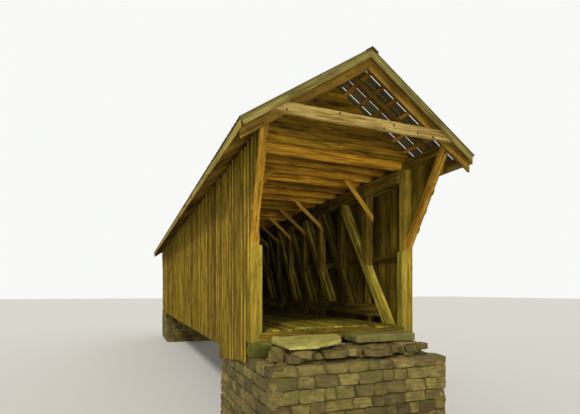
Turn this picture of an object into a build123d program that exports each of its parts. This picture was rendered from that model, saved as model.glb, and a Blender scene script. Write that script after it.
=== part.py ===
from build123d import *
from math import asin, atan2, hypot, tan
import os

# A one-lane covered timber bridge on two stone abutments, in millimetres.
# X runs across the road, Y along it and Z up. Right is +X and near is -Y.
# The origin is on the creek bed, under the middle of the bridge.

os.makedirs("parts", exist_ok=True)

# Lengths along the road
panel = 1560
panel_count = 14
end_bay = 1720
overhang = 1514
abutment_length = 3100
approach_ledge = 70
creek_batter = 200

# Widths across the road, from the centre line outwards
clear_half_width = 1864
chord_plank = 102
post_plank = 108
rail_thickness = 50
siding_thickness = 25
abutment_side_gap = 26

# Heights from the creek bed up
abutment_height = 2250
lower_chord_depth = 350
floor_beam_depth = 215
deck_thickness = 50
runner_thickness = 40
kerb_clearance = 226
kerb_chord_depth = 358
wall_height = 4400
top_chord_depth = 365
plate_depth = 230

# Truss timbers
post_width = 235
brace_width = 230
brace_foot_reach = 713
end_brace_width = 250
end_brace_foot = 452

# Floor timbers
floor_beam_width = 200
sill_width = 250
runner_half_width = 1138
deck_joint = 12
deck_side_gap = 9

# Portals
portal_post_width = 221
portal_post_depth = 213
cheek_thickness = 70
cheek_depth = 200
cheek_height = 2213
strut_foot_height = 2272
right_strut_reach = 1423
left_strut_lap = 200
strut_depth = 120
strut_seam = 2
block_inner_reach = 297
block_front_reach = 60
portal_tie_thickness = 75
portal_tie_depth = 222

# Stone steps in front of each portal: a sloping slab on the left, a rough stone on the right
step_front_gap = 10
step_bed_length = 1160
step_bed_side_inset = 100
step_bed_top_drop = 50
left_step_length = 1120
left_step_side_inset = 100
left_step_back_end = 40
left_step_side_end = -260
left_step_side_length = 660
left_step_front_end = -1100
left_step_back_thickness = 195
left_step_front_thickness = 85
right_step_length = 640
right_step_start = 130
right_step_side_inset = 64
right_step_thickness = 210

# Roof
roof_rise = 8
roof_run = 12
rafter_depth = 140
outer_rafter_depth = 295
rafter_thickness = 50
rafter_seat = 25
tie_thickness = 75
tie_depth = 270
gable_rafter_setback = 123
gable_board = 25
plate_width = 171
purlin_thickness = 30
purlin_width = 100
purlin_spacing = 430
sheet_thickness = 10
sheet_lip = 28
eave_reach = 627
fascia_thickness = 25
fascia_drop = 10
barge_thickness = 38
barge_depth = 154
barge_joint = 2
gable_lip = 15
ridge_cap_reach = 150
ridge_cap_thickness = 9
ridge_cap_lip = 30
ridge_cap_joint = 2

# Knee braces
knee_thickness = 50
knee_width = 130
knee_drop = 845
knee_reach = 1005
portal_knee_drop = 807
portal_knee_reach = 683
knee_lap = 120

# Siding and its rails
siding_drop = 451
skirt_drop = 827
skirt_length = 3150
siding_eave_gap = 8
siding_joint = 3
rail_depth = 150
mid_rail_depth = 185
low_rail_drop = 300
mid_rail_height = 2015
top_rail_drop = 150

# Lines along the road
truss_length = panel * panel_count + 2 * end_bay
half_length = truss_length / 2
barge_front = half_length + overhang
barge_back = barge_front - barge_thickness
outer_rafter_front = barge_back - portal_tie_thickness
outer_rafter_back = outer_rafter_front - rafter_thickness
step_back = -half_length - block_front_reach - step_front_gap
step_bed_front = step_back - step_bed_length
post_lines = [-half_length + end_bay + panel * index for index in range(panel_count + 1)]
middle = panel_count // 2

# Lines across the road
post_inner = clear_half_width + chord_plank
post_outer = post_inner + post_plank
rail_inner = post_outer + chord_plank
siding_inner = rail_inner + rail_thickness
siding_outer = siding_inner + siding_thickness
portal_post_inner = siding_inner - portal_post_width
plate_inner = siding_inner - plate_width
eave = siding_outer + eave_reach
fascia_outer = eave - sheet_lip
rafter_tail = fascia_outer - fascia_thickness
abutment_half_width = siding_inner - abutment_side_gap
step_bed_half_width = abutment_half_width - step_bed_side_inset
left_step_reach = clear_half_width - left_step_side_inset
right_step_reach = clear_half_width - right_step_side_inset

# Levels
base = abutment_height + lower_chord_depth
floor_level = base + floor_beam_depth
deck_top = floor_level + deck_thickness
kerb_bottom = floor_level + kerb_clearance
kerb_top = kerb_bottom + kerb_chord_depth
chord_top = base + wall_height
chord_bottom = chord_top - top_chord_depth
plate_top = chord_top + plate_depth

# The roof planes, as heights at a distance x from the centre line
pitch = roof_rise / roof_run
slant = hypot(roof_rise, roof_run) / roof_run


def rafter_bottom(x):
    return plate_top - rafter_seat + (siding_inner - x) * pitch


def rafter_top(x):
    return rafter_bottom(x) + rafter_depth * slant


def purlin_top(x):
    return rafter_top(x) + purlin_thickness * slant


def sheet_top(x):
    return purlin_top(x) + sheet_thickness * slant


def block(x0, x1, y0, y1, z0, z1):
    size = (x1 - x0, y1 - y0, z1 - z0)
    centre = ((x0 + x1) / 2, (y0 + y1) / 2, (z0 + z1) / 2)
    return Pos(*centre) * Box(*size)


def along_x(points, x0, x1):
    # A (y, z) outline carried from x0 to x1
    face = Face(Wire.make_polygon([(x0, y, z) for y, z in points]))
    return extrude(face, amount=x1 - x0, dir=(1, 0, 0))


def along_y(points, y0, y1):
    # An (x, z) outline carried from y0 to y1
    face = Face(Wire.make_polygon([(x, y0, z) for x, z in points]))
    return extrude(face, amount=y1 - y0, dir=(0, 1, 0))


def to_left(pieces):
    return [mirror(piece, about=Plane.YZ) for piece in pieces]


def to_far(pieces):
    return [mirror(piece, about=Plane.XZ) for piece in pieces]


def turned(pieces):
    return [Rot(0, 0, 180) * piece for piece in pieces]


def save(name, pieces):
    solids = [solid for piece in pieces for solid in piece.solids()]
    shape = solids[0] if len(solids) == 1 else Compound(children=solids)
    shape.label = name
    export_step(shape, f"parts/{name}.step")


def save_sides(name, pieces):
    save(f"right_{name}", pieces)
    save(f"left_{name}", to_left(pieces))


# Abutments: battered towards the creek, level bearing seat on top
def abutment():
    road_face = step_bed_front - approach_ledge
    creek_face = -half_length + abutment_length
    outline = [
        (road_face, 0),
        (creek_face + creek_batter, 0),
        (creek_face, abutment_height),
        (road_face, abutment_height),
    ]
    return along_x(outline, -abutment_half_width, abutment_half_width)


def bearing_block():
    inner = portal_post_inner - block_inner_reach
    front = -half_length - block_front_reach
    back = -half_length + portal_post_depth
    return block(inner, siding_inner, front, back, abutment_height, base)


# Steps: a bed of rubble in front of the bearing blocks, and two stones on it
step_level = base - step_bed_top_drop


def step_bed():
    reach = step_bed_half_width
    return block(-reach, reach, step_bed_front, step_back, abutment_height, step_level)


def left_step():
    # Its top slopes down to the front, and it runs out narrower towards its inner end
    front = step_back - left_step_length
    outline = [
        (front, step_level),
        (step_back, step_level),
        (step_back, step_level + left_step_back_thickness),
        (front, step_level + left_step_front_thickness),
    ]
    slab = along_x(outline, -left_step_reach, left_step_back_end)
    plan = [
        (-left_step_reach, front, step_level),
        (left_step_front_end, front, step_level),
        (left_step_side_end, step_back - left_step_side_length, step_level),
        (left_step_back_end, step_back, step_level),
        (-left_step_reach, step_back, step_level),
    ]
    return slab & extrude(Face(Wire.make_polygon(plan)), amount=left_step_back_thickness, dir=(0, 0, 1))


def right_step():
    front = step_back - right_step_length
    top = step_level + right_step_thickness
    return block(right_step_start, right_step_reach, front, step_back, step_level, top)


# Portal frame: posts, cheek boards, sill, raked struts under the plates
def portal_post():
    back = -half_length + portal_post_depth
    return block(portal_post_inner, siding_inner, -half_length, back, base, chord_top)


def cheek_board():
    inner = portal_post_inner - cheek_thickness
    back = -half_length + cheek_depth
    return block(inner, portal_post_inner, -half_length, back, floor_level, base + cheek_height)


def end_sill():
    reach = portal_post_inner
    return block(-reach, reach, -half_length, -half_length + sill_width, base, floor_level)


# The right strut reaches the outer rafter: its inner ply passes beside the wall plate's outer plank,
# and its outer ply stops under it. The left one is steeper, its far edge meets the middle rafter of
# the overhang at seat level, and the left wall plate stops at it.
strut_foot = base + strut_foot_height
overhang_rafter_line = (gable_rafter_setback - half_length - barge_back) / 2
strut_seat = rafter_bottom(siding_inner)
left_strut_run = -half_length - overhang_rafter_line
left_strut_rise = strut_seat - strut_foot
left_strut_slope = atan2(left_strut_run, left_strut_rise)
left_strut_turn = asin(strut_depth / hypot(left_strut_run, left_strut_rise))
left_strut_rake = tan(left_strut_slope + left_strut_turn)
right_strut_rake = right_strut_reach / (strut_seat - strut_foot)
ply_seam = (plate_inner + siding_inner) / 2
inner_ply = (plate_inner, ply_seam - strut_seam / 2)
outer_ply = (ply_seam + strut_seam / 2, siding_inner)


def strut_near_edge(z, rake):
    return -half_length - (z - strut_foot) * rake


def strut_far_edge(z, rake):
    return strut_near_edge(z, rake) + strut_depth * hypot(1, rake)


def strut_far_foot(rake):
    return strut_foot + strut_depth * hypot(1, rake) / rake


def right_strut():
    rake = right_strut_rake
    rafter_meets = strut_foot + (outer_rafter_back - half_length) / rake
    inner = [
        (-half_length, strut_foot),
        (-outer_rafter_back, rafter_meets),
        (-outer_rafter_back, strut_seat),
        (strut_far_edge(strut_seat, rake), strut_seat),
        (-half_length, strut_far_foot(rake)),
    ]
    outer = [
        (-half_length, strut_foot),
        (strut_near_edge(chord_top, rake), chord_top),
        (strut_far_edge(chord_top, rake), chord_top),
        (-half_length, strut_far_foot(rake)),
    ]
    return [along_x(inner, *inner_ply), along_x(outer, *outer_ply)]


def left_strut():
    # Made on the right and mirrored. Its head laps the near face of the rafter.
    rake = left_strut_rake
    top = strut_seat + left_strut_lap
    outline = [
        (-half_length, strut_foot),
        (strut_near_edge(top, rake), top),
        (overhang_rafter_line, top),
        (overhang_rafter_line, strut_seat),
        (-half_length, strut_far_foot(rake)),
    ]
    return [along_x(outline, *inner_ply), along_x(outline, *outer_ply)]


# Trusses: paired chord planks with the posts between them
def paired(make):
    return [make(clear_half_width, post_inner), make(post_outer, rail_inner)]


def lower_chord():
    end = half_length - portal_post_depth
    return paired(lambda x0, x1: block(x0, x1, -end, end, abutment_height, base))


def top_chord():
    inner_end = half_length - gable_rafter_setback
    outer_end = half_length - portal_post_depth
    inner = block(clear_half_width, post_inner, -inner_end, inner_end, chord_bottom, chord_top)
    outer = block(post_outer, rail_inner, -outer_end, outer_end, chord_bottom, chord_top)
    return [inner, outer]


# The end brace runs from the lower chord to the head of the second post
end_brace_head = end_bay + panel - post_width / 2
end_brace_lean = (end_brace_head - end_brace_foot) / (chord_bottom - base)


def end_brace_edge(z, side):
    # Distance from the portal to the brace's near (-1) or far (+1) edge at height z
    half_run = end_brace_width / 2 * hypot(1, end_brace_lean)
    return end_brace_foot + (z - base) * end_brace_lean + side * half_run


def end_brace_outline():
    head = end_brace_head
    near_foot = end_brace_edge(base, -1)
    far_foot = end_brace_edge(base, 1)
    near_head = end_brace_edge(chord_bottom, -1)
    shoulder = base + (head - far_foot) / end_brace_lean
    points = [
        (near_foot, base),
        (far_foot, base),
        (head, shoulder),
        (head, chord_bottom),
        (near_head, chord_bottom),
    ]
    return [(y - half_length, z) for y, z in points]


def end_braces():
    near = along_x(end_brace_outline(), clear_half_width, post_outer)
    return [near, *to_far([near])]


def kerb_chord():
    low = half_length - end_brace_edge(kerb_bottom, 1)
    high = half_length - end_brace_edge(kerb_top, 1)
    outline = [(-low, kerb_bottom), (low, kerb_bottom), (high, kerb_top), (-high, kerb_top)]
    return paired(lambda x0, x1: along_x(outline, x0, x1))


# A common brace stands on the kerb chord, and its head meets the next post under the top chord
brace_head_reach = panel - post_width / 2
brace_lean = (brace_foot_reach + brace_head_reach) / (chord_bottom - kerb_top)
brace_half_run = brace_width / 2 * hypot(1, brace_lean)


def brace_edge_height(offset, side):
    # Height of the brace's lower (-1) or upper (+1) edge at an offset from its post line
    return kerb_top + (offset + brace_foot_reach + side * brace_half_run) / brace_lean


def brace_outline(line):
    foot = line - brace_foot_reach
    head = line + brace_head_reach
    return [
        (foot - brace_half_run, kerb_top),
        (foot + brace_half_run, kerb_top),
        (head, brace_edge_height(brace_head_reach, -1)),
        (head, chord_bottom),
        (head - brace_half_run, chord_bottom),
    ]


def braces():
    near = []
    for line in post_lines[1:middle]:
        outline = brace_outline(line)
        near += paired(lambda x0, x1: along_x(outline, x0, x1))
    return near + to_far(near)


def carried_post(line, low_near, low_far, x0, x1, high):
    # A post plank with its foot cut to the slope of the brace under it
    y0 = line - post_width / 2
    y1 = line + post_width / 2
    return along_x([(y0, low_near), (y1, low_far), (y1, high), (y0, high)], x0, x1)


def end_brace_level(line, shift, side):
    # Height of the end brace's near (-1) or far (+1) edge at a shift from a post line
    return base + (line + half_length + shift - end_brace_edge(base, side)) / end_brace_lean


def end_posts():
    # The outermost post stands on the end brace, with a stub of it below
    line = post_lines[0]
    half = post_width / 2
    low_near = end_brace_level(line, -half, -1)
    low_far = end_brace_level(line, half, -1)
    stub_near = end_brace_level(line, -half, 1)
    stub_far = end_brace_level(line, half, 1)
    stub = [
        (line - half, abutment_height),
        (line + half, abutment_height),
        (line + half, stub_far),
        (line - half, stub_near),
    ]
    upper = carried_post(line, low_near, low_far, post_inner, post_outer, chord_top)
    ply = carried_post(line, low_near, low_far, clear_half_width, post_inner, chord_bottom)
    return [upper, along_x(stub, post_inner, post_outer)], ply


def posts():
    half = post_width / 2
    near, _ = end_posts()
    whole = [
        block(post_inner, post_outer, line - half, line + half, abutment_height, chord_top)
        for line in post_lines[1:-1]
    ]
    return near + to_far(near) + whole


def post_plies():
    # The inner ply of each post stands on its brace, flush with the brace's face
    half = post_width / 2
    low_near = brace_edge_height(-half, 1)
    low_far = brace_edge_height(half, 1)
    _, end_ply = end_posts()
    near = [end_ply] + [
        carried_post(line, low_near, low_far, clear_half_width, post_inner, chord_bottom)
        for line in post_lines[1:middle]
    ]
    centre = block(clear_half_width, post_inner, -half, half, kerb_top, chord_bottom)
    return near + to_far(near) + [centre]


# Floor: cross beams on the lower chords, boards along the road
def floor_beams():
    first = post_lines[0] - panel / 4
    count = 2 * panel_count + 2
    half = floor_beam_width / 2
    lines = [first + index * panel / 2 for index in range(count)]
    return [block(-rail_inner, rail_inner, line - half, line + half, base, floor_level) for line in lines]


def deck_strip():
    inner = runner_half_width + deck_joint
    outer = clear_half_width - deck_side_gap
    return block(inner, outer, -half_length, half_length, floor_level, deck_top)


def middle_deck():
    reach = runner_half_width
    return block(-reach, reach, -half_length, half_length, floor_level, deck_top)


def runner():
    reach = runner_half_width
    return block(-reach, reach, -half_length, half_length, deck_top, deck_top + runner_thickness)


# Roof frame: plates, ties and rafters. A tie lies on the far side of its rafter.
def wall_plate(inner_end, outer_end):
    # Two planks side by side, the outer one bevelled for the rafters
    bevel = rafter_seat / pitch
    start = outer_ply[0]
    outline = [
        (start, chord_top),
        (siding_inner, chord_top),
        (siding_inner, plate_top - rafter_seat),
        (siding_inner - bevel, plate_top),
        (start, plate_top),
    ]
    inner = block(*inner_ply, -inner_end, inner_end, chord_top, plate_top)
    return [inner, along_y(outline, -outer_end, outer_end)]


right_plate_end = -strut_far_edge(chord_top, right_strut_rake)
left_plate_end = -strut_far_edge(chord_top, left_strut_rake)


# A tie stands before each post and halfway between, and one between the gable and the first of them
gable_tie_line = -half_length + gable_rafter_setback + rafter_thickness
post_tie_lines = [
    post_lines[0] - post_width / 2 - knee_thickness - tie_thickness + index * panel / 2
    for index in range(2 * panel_count + 2)
]
common_tie_lines = [(gable_tie_line + post_tie_lines[0]) / 2] + post_tie_lines


def tie(near_face):
    far_face = near_face + tie_thickness
    return block(-plate_inner, plate_inner, near_face, far_face, chord_top, chord_top + tie_depth)


def tie_beams():
    gable = [tie(gable_tie_line)]
    return gable + to_far(gable) + [tie(line) for line in common_tie_lines]


def portal_tie():
    # Lies between the barge board and the outer rafter
    top = plate_top + portal_tie_depth
    shoulder = siding_inner - (top - rafter_top(siding_inner)) / pitch
    outline = [
        (-siding_inner, plate_top),
        (siding_inner, plate_top),
        (siding_inner, rafter_top(siding_inner)),
        (shoulder, top),
        (-shoulder, top),
        (-siding_inner, rafter_top(siding_inner)),
    ]
    return along_y(outline, -barge_back, -outer_rafter_front)


def rafter(near_face, depth):
    low = (depth - rafter_depth) * slant
    outline = [
        (0, rafter_bottom(0) - low),
        (rafter_tail, rafter_bottom(rafter_tail) - low),
        (rafter_tail, rafter_top(rafter_tail)),
        (0, rafter_top(0)),
    ]
    return along_y(outline, near_face, near_face + rafter_thickness)


def rafters():
    # The rafter behind the portal tie is deeper and shows below the barge board
    gable_line = gable_tie_line - rafter_thickness
    near = [rafter(-outer_rafter_front, outer_rafter_depth)]
    near += [rafter(line, rafter_depth) for line in (overhang_rafter_line, gable_line)]
    common = [rafter(line - rafter_thickness, rafter_depth) for line in common_tie_lines]
    return near + to_far(near) + common


def knee_brace(line, drop, reach, foot_x):
    # From the near face of a post up to the far face of the tie in front of it
    lean = reach / drop
    half_run = knee_width / 2 * hypot(1, lean)
    half_rise = half_run / lean
    foot = chord_top - drop - (foot_x - clear_half_width) / lean
    head = chord_top + knee_lap
    head_x = clear_half_width - reach - knee_lap * lean
    outline = [
        (foot_x, foot - half_rise),
        (foot_x, foot + half_rise),
        (head_x + half_run, head),
        (head_x - half_run, head),
    ]
    far_face = line - post_width / 2
    return along_y(outline, far_face - knee_thickness, far_face)


def knee_braces():
    # The knees next to the portals are steeper and lap the whole post
    ends = [
        knee_brace(line, portal_knee_drop, portal_knee_reach, post_outer)
        for line in (post_lines[0], post_lines[-1])
    ]
    return ends + [knee_brace(line, knee_drop, knee_reach, post_inner) for line in post_lines[2:-2]]


# Roof covering
def purlins():
    run = 1 / slant
    rise = pitch / slant
    length = rafter_tail * slant
    count = int((length - purlin_width) / purlin_spacing) + 1
    pieces = []
    for index in range(count):
        x = rafter_tail - index * purlin_spacing * run
        z = rafter_top(x)
        x_up = x - purlin_width * run
        z_up = rafter_top(x_up)
        x_off = purlin_thickness * rise
        z_off = purlin_thickness * run
        outline = [(x, z), (x + x_off, z + z_off), (x_up + x_off, z_up + z_off), (x_up, z_up)]
        pieces.append(along_y(outline, -barge_back, barge_back))
    return pieces


def roof_sheet():
    outline = [(0, purlin_top(0)), (eave, purlin_top(eave)), (eave, sheet_top(eave)), (0, sheet_top(0))]
    end = barge_front + gable_lip
    return along_y(outline, -end, end)


def ridge_cap_leaf():
    # One of the two leaves that meet over the ridge
    start = ridge_cap_joint / 2
    reach = ridge_cap_reach
    rise = ridge_cap_thickness * slant
    outline = [
        (start, sheet_top(start)),
        (reach, sheet_top(reach)),
        (reach, sheet_top(reach) + rise),
        (start, sheet_top(start) + rise),
    ]
    end = barge_front + gable_lip + ridge_cap_lip
    return along_y(outline, -end, end)


def barge_board():
    # Mitred at the ridge, cut square at the eave
    start = barge_joint / 2
    low = barge_depth * slant
    square_end = fascia_outer - barge_depth * pitch / slant
    outline = [
        (start, purlin_top(start) - low),
        (square_end, purlin_top(square_end) - low),
        (fascia_outer, purlin_top(fascia_outer)),
        (start, purlin_top(start)),
    ]
    return along_y(outline, -barge_front, -barge_back)


def eave_fascia():
    low = rafter_bottom(rafter_tail) - fascia_drop
    outline = [
        (rafter_tail, low),
        (fascia_outer, low),
        (fascia_outer, rafter_top(fascia_outer)),
        (rafter_tail, rafter_top(rafter_tail)),
    ]
    return along_y(outline, -barge_back, barge_back)


def gable_wall():
    reach = siding_inner
    outline = [
        (-reach, plate_top),
        (reach, plate_top),
        (reach, rafter_top(reach)),
        (0, rafter_top(0)),
        (-reach, rafter_top(reach)),
    ]
    back = -half_length + gable_rafter_setback
    return along_y(outline, back - gable_board, back)


# Side walls: rails on the trusses, siding outside them, raked wings beyond the portals
def side_rails():
    end = half_length - portal_post_depth
    levels = [
        (base - low_rail_drop, rail_depth),
        (base + mid_rail_height, mid_rail_depth),
        (chord_top - top_rail_drop, rail_depth),
    ]
    return [block(rail_inner, siding_inner, -end, end, z, z + depth) for z, depth in levels]


def wing_outline(rake, top):
    # Follows the strut, and stops behind the outer rafter where it reaches so far
    back = -half_length - siding_joint
    foot = strut_foot + siding_joint / rake
    limit = -outer_rafter_back + siding_joint
    tip = strut_near_edge(top, rake)
    if tip > limit:
        return [(back, foot), (tip, top), (back, top)]
    corner = strut_foot + (-half_length - limit) / rake
    return [(back, foot), (limit, corner), (limit, top), (back, top)]


def siding(rake):
    # Each end has a wing along its strut, a full panel and a skirt behind the bearing block
    top = rafter_bottom(siding_outer) - siding_eave_gap
    portal = -half_length
    wing = wing_outline(rake, top)
    skirt_front = portal + portal_post_depth + siding_joint
    skirt_end = portal + skirt_length
    skirt_top = base - siding_joint
    skirt = [
        (skirt_front, base - siding_drop),
        (skirt_end, base - skirt_drop),
        (skirt_end, skirt_top),
        (skirt_front, skirt_top),
    ]
    near = [along_x(outline, siding_inner, siding_outer) for outline in (wing, skirt)]
    near.append(block(siding_inner, siding_outer, portal, skirt_end, base, top))
    inset = skirt_end + siding_joint
    middle_panel = block(siding_inner, siding_outer, inset, -inset, base - siding_drop, top)
    return near + to_far(near) + [middle_panel]


near_abutment = [abutment()]
save("near_abutment", near_abutment)
save("far_abutment", to_far(near_abutment))

near_blocks = [bearing_block()] + to_left([bearing_block()])
save("bearing_blocks", near_blocks + to_far(near_blocks))
save("step_beds", [step_bed()] + to_far([step_bed()]))
near_steps = [left_step(), right_step()]
save("near_steps", near_steps)
save("far_steps", turned(near_steps))

save("end_sills", [end_sill()] + to_far([end_sill()]))
near_posts = [portal_post()] + to_left([portal_post()])
save("portal_posts", near_posts + to_far(near_posts))
near_cheeks = [cheek_board()] + to_left([cheek_board()])
save("cheek_boards", near_cheeks + to_far(near_cheeks))
near_struts = right_strut() + to_left(left_strut())
save("portal_struts", near_struts + to_far(near_struts))

save_sides("lower_chord", lower_chord())
save_sides("kerb_chord", kerb_chord())
save_sides("top_chord", top_chord())
save_sides("posts", posts())
save_sides("post_plies", post_plies())
save("end_braces", end_braces() + to_left(end_braces()))
save_sides("braces", braces())

save("floor_beams", floor_beams())
save("side_decks", [deck_strip()] + to_left([deck_strip()]))
save("middle_deck", [middle_deck()])
save("runner", [runner()])

right_plate = wall_plate(right_plate_end, outer_rafter_back)
left_plate = wall_plate(left_plate_end, left_plate_end)
save("wall_plates", right_plate + to_left(left_plate))
save("tie_beams", tie_beams())
save("portal_ties", [portal_tie()] + to_far([portal_tie()]))
save_sides("rafters", rafters())
save("knee_braces", knee_braces() + to_left(knee_braces()))

save_sides("purlins", purlins())
save_sides("roof_sheet", [roof_sheet()])
save("ridge_cap", [ridge_cap_leaf()] + to_left([ridge_cap_leaf()]))
near_barges = [barge_board()] + to_left([barge_board()])
save("barge_boards", near_barges + to_far(near_barges))
save("eave_fascias", [eave_fascia()] + to_left([eave_fascia()]))
save("gable_walls", [gable_wall()] + to_far([gable_wall()]))

save_sides("side_rails", side_rails())
save("right_siding", siding(right_strut_rake))
save("left_siding", to_left(siding(left_strut_rake)))
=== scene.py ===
import math
import random

import bpy
from mathutils import Matrix, Vector


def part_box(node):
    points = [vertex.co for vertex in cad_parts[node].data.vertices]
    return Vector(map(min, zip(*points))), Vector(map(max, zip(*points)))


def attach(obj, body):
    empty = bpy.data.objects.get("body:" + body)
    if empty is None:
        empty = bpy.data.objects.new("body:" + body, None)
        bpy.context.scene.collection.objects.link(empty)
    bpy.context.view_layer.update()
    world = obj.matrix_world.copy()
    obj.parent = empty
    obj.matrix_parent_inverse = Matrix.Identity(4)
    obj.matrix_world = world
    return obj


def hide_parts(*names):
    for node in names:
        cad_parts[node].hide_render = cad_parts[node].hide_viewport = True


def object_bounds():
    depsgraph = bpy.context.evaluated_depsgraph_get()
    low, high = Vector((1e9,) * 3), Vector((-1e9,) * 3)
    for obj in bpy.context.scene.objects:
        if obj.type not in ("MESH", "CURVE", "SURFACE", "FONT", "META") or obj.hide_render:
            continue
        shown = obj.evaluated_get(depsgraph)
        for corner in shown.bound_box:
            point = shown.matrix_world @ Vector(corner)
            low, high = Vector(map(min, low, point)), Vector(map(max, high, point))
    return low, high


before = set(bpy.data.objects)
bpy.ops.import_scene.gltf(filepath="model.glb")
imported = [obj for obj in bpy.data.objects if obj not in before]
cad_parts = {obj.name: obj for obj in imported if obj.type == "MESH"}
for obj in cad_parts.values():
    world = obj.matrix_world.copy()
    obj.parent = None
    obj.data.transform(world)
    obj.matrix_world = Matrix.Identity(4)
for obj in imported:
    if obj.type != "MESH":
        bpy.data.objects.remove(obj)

# Covered timber bridge, in metres. X runs across the road, Y along it, Z up.
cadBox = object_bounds()

# Places that several pieces share, read from the frame
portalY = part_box("portal_posts")[0].y
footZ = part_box("portal_posts")[0].z
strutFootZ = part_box("portal_struts")[0].z
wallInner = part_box("right_siding")[0].x

# The roof's pitch and the rows of truss posts, counted from the near portal
bridge = {"pitch": 8 / 12, "panel": 1.56, "panelCount": 14, "endBay": 1.72}
slopeAngle = math.atan(bridge["pitch"])


# Small helpers for modelling

def clearSelection():
    if bpy.context.object and bpy.context.object.mode != "OBJECT":
        bpy.ops.object.mode_set(mode="OBJECT")
    bpy.ops.object.select_all(action="DESELECT")


def pickUp(piece):
    clearSelection()
    piece.select_set(True)
    bpy.context.view_layer.objects.active = piece


def settled():
    # The active object, with its place, turn and size moved into its mesh
    bpy.ops.object.transform_apply(location=True, rotation=True, scale=True)
    return bpy.context.object


def addBox(name, low, high):
    clearSelection()
    centre = [(a + b) / 2 for a, b in zip(low, high)]
    size = [b - a for a, b in zip(low, high)]
    bpy.ops.mesh.primitive_cube_add(size=1, location=centre, scale=size)
    piece = settled()
    piece.name = name
    return piece


def editAll():
    bpy.ops.object.mode_set(mode="EDIT")
    bpy.ops.mesh.select_all(action="SELECT")


def bevelEdges(piece, test, offset, segments=1):
    # Bevels only the edges that pass the test
    bpy.ops.object.mode_set(mode="EDIT")
    bpy.ops.mesh.select_mode(type="EDGE")
    bpy.ops.mesh.select_all(action="DESELECT")
    bpy.ops.object.mode_set(mode="OBJECT")
    points = [vertex.co.copy() for vertex in piece.data.vertices]
    for edge in piece.data.edges:
        edge.select = test(points[edge.vertices[0]], points[edge.vertices[1]])
    bpy.ops.object.mode_set(mode="EDIT")
    bpy.ops.mesh.bevel(offset=offset, segments=segments, affect="EDGES")
    bpy.ops.object.mode_set(mode="OBJECT")


def isUpright(a, b):
    return abs(a.z - b.z) > 0.5


def cutAway(piece, point, normal):
    # Cuts off what lies on the normal's side and closes the cut
    pickUp(piece)
    editAll()
    direction = Vector(normal).normalized()
    bpy.ops.mesh.bisect(plane_co=point, plane_no=direction, use_fill=True, clear_outer=True)
    bpy.ops.object.mode_set(mode="OBJECT")


def applyModifiers(piece):
    pickUp(piece)
    for modifier in list(piece.modifiers):
        bpy.ops.object.modifier_apply(modifier=modifier.name)


def makeBoard(name, thickness, edge):
    # One board of unit width and length: thick along X, wide along Y, long along Z
    board = addBox(name, (0, -0.5, 0), (thickness, 0.5, 1))
    bevelEdges(board, isUpright, edge)
    return board


def markTones(mesh, values):
    mark = mesh.attributes.new("tone", "FLOAT", "POINT")
    mark.data.foreach_set("value", values)


def copyOut(template, name, places, tones=None):
    # Each copy has its own mesh and its own tone, and all are joined in one piece
    clearSelection()
    copies = []
    for place, tone in zip(places, tones or [0.5] * len(places)):
        one = bpy.data.objects.new(name, template.data.copy())
        one.data.transform(place)
        markTones(one.data, [tone] * len(one.data.vertices))
        bpy.context.scene.collection.objects.link(one)
        one.select_set(True)
        copies.append(one)
    bpy.context.view_layer.objects.active = copies[0]
    bpy.ops.object.join()
    return copies[0]


def joinPieces(name, pieces):
    clearSelection()
    for piece in pieces:
        piece.select_set(True)
    bpy.context.view_layer.objects.active = pieces[0]
    if len(pieces) > 1:
        bpy.ops.object.join()
    pieces[0].name = name
    return pieces[0]


def throwAway(*pieces):
    for piece in pieces:
        bpy.data.objects.remove(piece, do_unlink=True)


def placed(x, y, z, width, length):
    return Matrix.Translation((x, y, z)) @ Matrix.Diagonal((1, width, length, 1))


def dress(piece, material):
    piece.data.materials.clear()
    piece.data.materials.append(material)


def finishPiece(piece, material, slot, *nodes):
    dress(piece, material)
    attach(piece, "root")
    if nodes:
        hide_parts(*nodes)


# Small helpers for materials

def put(tree, kind, inputs=None, **settings):
    # Adds a node. An input that is a socket is linked, any other value is set.
    node = tree.nodes.new(kind)
    for key, value in settings.items():
        setattr(node, key, value)
    for key, value in (inputs or {}).items():
        if isinstance(value, bpy.types.NodeSocket):
            tree.links.new(value, node.inputs[key])
        else:
            node.inputs[key].default_value = value
    return node


def calc(tree, operation, *values):
    return put(tree, "ShaderNodeMath", dict(enumerate(values)), operation=operation).outputs[0]


def vectorCalc(tree, operation, *values):
    return put(tree, "ShaderNodeVectorMath", dict(enumerate(values)), operation=operation).outputs[0]


def spread(tree, value, low, high, start=0.0, end=1.0):
    inputs = {"Value": value, "From Min": low, "From Max": high, "To Min": start, "To Max": end}
    return put(tree, "ShaderNodeMapRange", inputs).outputs["Result"]


def shared(tree, a, b, share):
    # So much of the first value, and the rest of the second
    return calc(tree, "MULTIPLY_ADD", a, share, calc(tree, "MULTIPLY", b, 1 - share))


def blend(tree, factor, a, b, way="MIX"):
    # Sockets 6 and 7 are the two colours
    node = put(tree, "ShaderNodeMix", {0: factor, 6: a, 7: b}, data_type="RGBA", blend_type=way)
    return node.outputs[2]


def lifted(tree, color, lift):
    grey = put(tree, "ShaderNodeCombineColor", {0: lift, 1: lift, 2: lift}).outputs[0]
    return blend(tree, 1.0, color, grey, "MULTIPLY")


def objectPlace(tree):
    return put(tree, "ShaderNodeTexCoord").outputs["Object"]


def noise(tree, vector, scale, detail, roughness=0.5, shift=None, outlet="Fac"):
    # A shift moves along a fourth dimension, so that each tone has its own pattern
    inputs = {"Vector": vector, "Scale": scale, "Detail": detail, "Roughness": roughness}
    if shift is None:
        return put(tree, "ShaderNodeTexNoise", inputs).outputs[outlet]
    inputs["W"] = shift
    return put(tree, "ShaderNodeTexNoise", inputs, noise_dimensions="4D").outputs[outlet]


def stretched(tree, vector, scale):
    return vectorCalc(tree, "MULTIPLY", vector, scale)


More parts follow.
